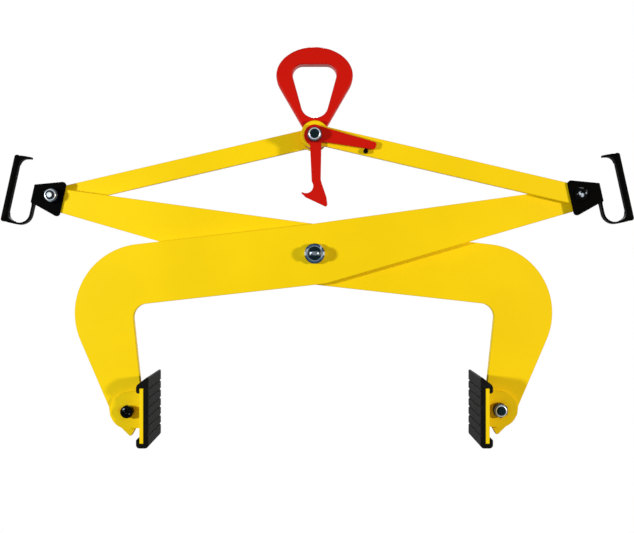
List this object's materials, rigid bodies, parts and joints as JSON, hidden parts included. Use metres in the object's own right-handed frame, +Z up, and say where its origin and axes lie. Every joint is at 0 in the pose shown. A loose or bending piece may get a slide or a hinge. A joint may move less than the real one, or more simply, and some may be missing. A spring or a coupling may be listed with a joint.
{
  "type": "block lifting clamp",
  "caption": "Scissor clamp that hangs from a lifting eye: links and crossed arms close rubber pads on a block, and a locking hook holds it open.",
  "frame": {"origin": "seat inside the top of the lifting eye's hole, where a hoist hook bears", "axes": "+Z up along the pull, +X to the right along the jaws' closing line, +Y away from the viewer"},
  "size_m": [0.9192, 0.1, 0.5722],
  "materials": {
    "red_paint": "semi-gloss paint",
    "yellow_paint": "semi-gloss paint",
    "black_paint": "satin paint",
    "black_grip": "moulded",
    "rubber": "moulded",
    "zinc": "zinc plated",
    "dark_steel": "oiled steel",
    "black_steel": "black oxide"
  },
  "bodies": {
    "lifting_eye": {"lifting_eye": "red_paint"},
    "left_link": {"left_link": "yellow_paint", "top_bolt": "dark_steel", "top_nut": "zinc", "top_washers": "zinc", "eye_thrust_washers": "zinc"},
    "right_link": {"right_link": "yellow_paint", "hook_stop_screw": "black_steel"},
    "locking_hook": {"locking_hook": "red_paint"},
    "front_arm": {"front_arm": "yellow_paint", "right_handle_strap": "black_paint", "right_handle_grip": "black_grip", "right_handle_bolt": "black_steel", "right_handle_nut": "zinc", "right_handle_washers": "zinc"},
    "rear_arm": {"rear_arm": "yellow_paint", "centre_bolt": "dark_steel", "centre_collar": "zinc", "centre_washer": "zinc", "arm_thrust_washer": "zinc", "left_handle_strap": "black_paint", "left_handle_grip": "black_grip", "left_handle_bolt": "black_steel", "left_handle_nut": "zinc", "left_handle_washers": "zinc"},
    "left_jaw": {"left_jaw_bracket": "yellow_paint", "left_jaw_pad": "rubber", "left_jaw_bolt": "black_steel", "left_jaw_nut": "zinc", "left_jaw_washer": "zinc"},
    "right_jaw": {"right_jaw_bracket": "yellow_paint", "right_jaw_pad": "rubber", "right_jaw_bolt": "black_steel", "right_jaw_nut": "zinc", "right_jaw_washer": "zinc"}
  },
  "joints": [
    {"name": "eye_swing", "type": "hinge", "parent": "lifting_eye", "child": "left_link", "pos_m": [0, 0, -0.105], "axis": [0, -1, 0], "range_deg": [-34, 57]},
    {"name": "fold", "type": "hinge", "parent": "left_link", "child": "right_link", "pos_m": [0, 0, -0.105], "axis": [0, 1, 0], "range_deg": [-8, 54]},
    {"name": "rear_arm_fold", "type": "hinge", "parent": "left_link", "child": "rear_arm", "pos_m": [-0.38076, 0, -0.18941], "axis": [0, 1, 0], "range_deg": [-8, 54]},
    {"name": "front_arm_fold", "type": "hinge", "parent": "right_link", "child": "front_arm", "pos_m": [0.38076, 0, -0.18941], "axis": [0, -1, 0], "range_deg": [-8, 54]},
    {"name": "hook_lift", "type": "hinge", "parent": "right_link", "child": "locking_hook", "pos_m": [0, 0, -0.105], "axis": [0, -1, 0], "range_deg": [0, 59]},
    {"name": "left_jaw_tilt", "type": "hinge", "parent": "front_arm", "child": "left_jaw", "pos_m": [-0.268, 0, -0.49982], "axis": [0, 1, 0], "range_deg": [-6, 27.5]},
    {"name": "right_jaw_tilt", "type": "hinge", "parent": "rear_arm", "child": "right_jaw", "pos_m": [0.268, 0, -0.49982], "axis": [0, -1, 0], "range_deg": [-6, 27.5]}
  ],
  "couplings": [
    {"joint": "rear_arm_fold", "follows": "fold", "ratio": 1},
    {"joint": "front_arm_fold", "follows": "fold", "ratio": 1}
  ]
}
